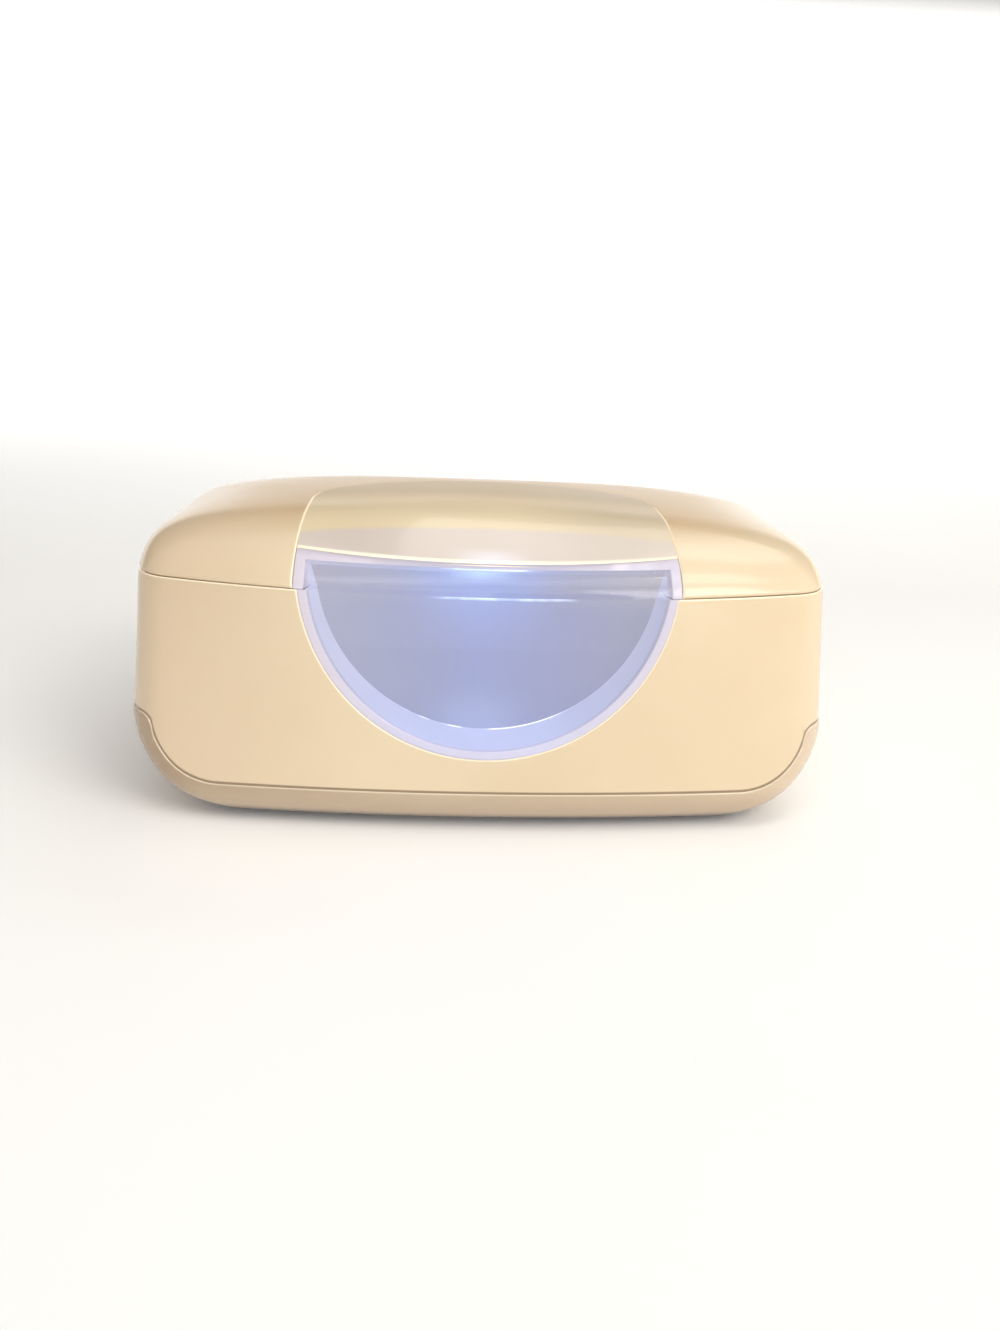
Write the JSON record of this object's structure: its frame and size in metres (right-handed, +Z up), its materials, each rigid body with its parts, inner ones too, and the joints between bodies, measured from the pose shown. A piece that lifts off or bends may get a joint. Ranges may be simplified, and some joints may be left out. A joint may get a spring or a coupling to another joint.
{
  "type": "wipe warmer",
  "caption": "Rounded off-white box with a rear-hinged lid, finger lip, half-round front window and night light, for keeping a stack of folded wipes warm.",
  "frame": {"origin": "middle of the footprint, on the table under the feet", "axes": "+X towards the right of the front window, +Y from the window towards the hinge, +Z up"},
  "size_m": [0.2576, 0.1715, 0.1109],
  "materials": {
    "shell_plastic": "glossy moulded off-white plastic",
    "panel_plastic": "glossy milky cover over a white backing",
    "backing_plastic": "matt white plastic",
    "frosted_plastic": "frosted milky plastic lit by the night light",
    "clear_pane": "clear glossy pane",
    "frosted_pane": "frosted pane lit by the night light",
    "tinted_pane": "smoky blue-violet translucent window",
    "seal_rubber": "soft matt silicone",
    "tub_plastic": "satin moulded white plastic",
    "foam": "matt closed-cell foam",
    "liner_plastic": "satin moulded white plastic",
    "plate_aluminium": "satin anodised sheet",
    "mat_rubber": "matt silicone heating mat",
    "pin_steel": "drawn steel",
    "foot_rubber": "matt rubber",
    "black_plastic": "matt black moulded plastic",
    "board_green": "solder-masked board",
    "lead_rubber": "matt insulated lead",
    "board_white": "white solder mask",
    "diffuser_plastic": "milky light guide",
    "screw_steel": "zinc-plated steel",
    "led_lens": "clear dome, lit"
  },
  "bodies": {
    "body": {"body_shell": "shell_plastic", "base_cradle": "shell_plastic", "window_frame": "frosted_plastic", "window_lens": "clear_pane", "tub_window": "tinted_pane", "tub_window_seal": "seal_rubber", "tub": "tub_plastic", "tub_insulation": "foam", "hinge_pin_left": "pin_steel", "hinge_pin_right": "pin_steel", "rubber_feet": "foot_rubber", "power_jack": "black_plastic", "jack_pin": "pin_steel", "control_board": "board_green", "supply_lead": "lead_rubber", "base_screws": "screw_steel", "tub_screws": "screw_steel", "board_screws": "screw_steel"},
    "lid": {"lid_shell": "shell_plastic", "lid_panel": "panel_plastic", "panel_backing": "backing_plastic", "lid_lens": "frosted_pane", "lid_liner": "liner_plastic", "lid_gasket": "seal_rubber", "heater_plate": "plate_aluminium", "heater_mat": "mat_rubber", "heater_insulation": "foam", "lid_lead": "lead_rubber", "led_board": "board_white", "led": "led_lens", "light_diffuser": "diffuser_plastic", "thermostat": "black_plastic", "thermal_fuse": "pin_steel", "lid_screws": "screw_steel", "heater_screws": "screw_steel"}
  },
  "joints": [
    {"name": "lid_hinge", "type": "hinge", "parent": "body", "child": "lid", "pos_m": [0, 0.08175, 0.0882], "axis": [-1, 0, 0], "range_deg": [0, 100]}
  ]
}
